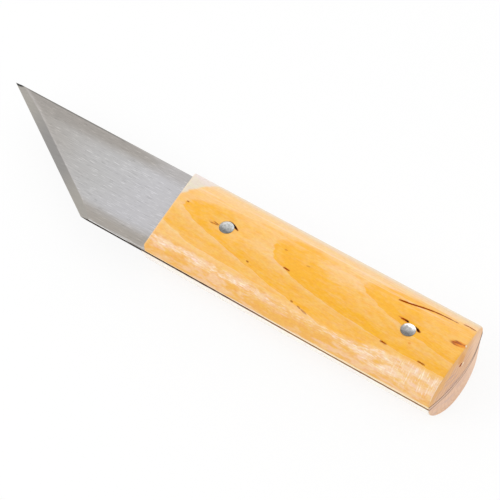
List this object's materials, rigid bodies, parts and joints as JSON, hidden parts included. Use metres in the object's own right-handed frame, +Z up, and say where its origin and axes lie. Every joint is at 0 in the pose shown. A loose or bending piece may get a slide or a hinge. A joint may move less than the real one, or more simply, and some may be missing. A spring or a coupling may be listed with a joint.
{
  "type": "shoemaker knife",
  "caption": "Fixed-blade shoemaker knife: flat steel strip with a slanting ground edge and a full tang between oval wooden scales held by peened rivets.",
  "frame": {"origin": "on the surface that the knife lies on, under the middle of its length and width", "axes": "+X from the blade's tip to the butt, +Y from the cutting edge's side to the spine, +Z up, square to the strip"},
  "size_m": [0.18, 0.0324, 0.0231],
  "materials": {
    "blade_steel": "ground along the strip, left dull",
    "handle_wood": "flat-sawn pale wood, clear lacquer",
    "rivet_metal": "peened, dull"
  },
  "bodies": {
    "root": {"blade": "blade_steel", "left_scale": "handle_wood", "right_scale": "handle_wood", "front_rivet": "rivet_metal", "rear_rivet": "rivet_metal"}
  },
  "joints": []
}
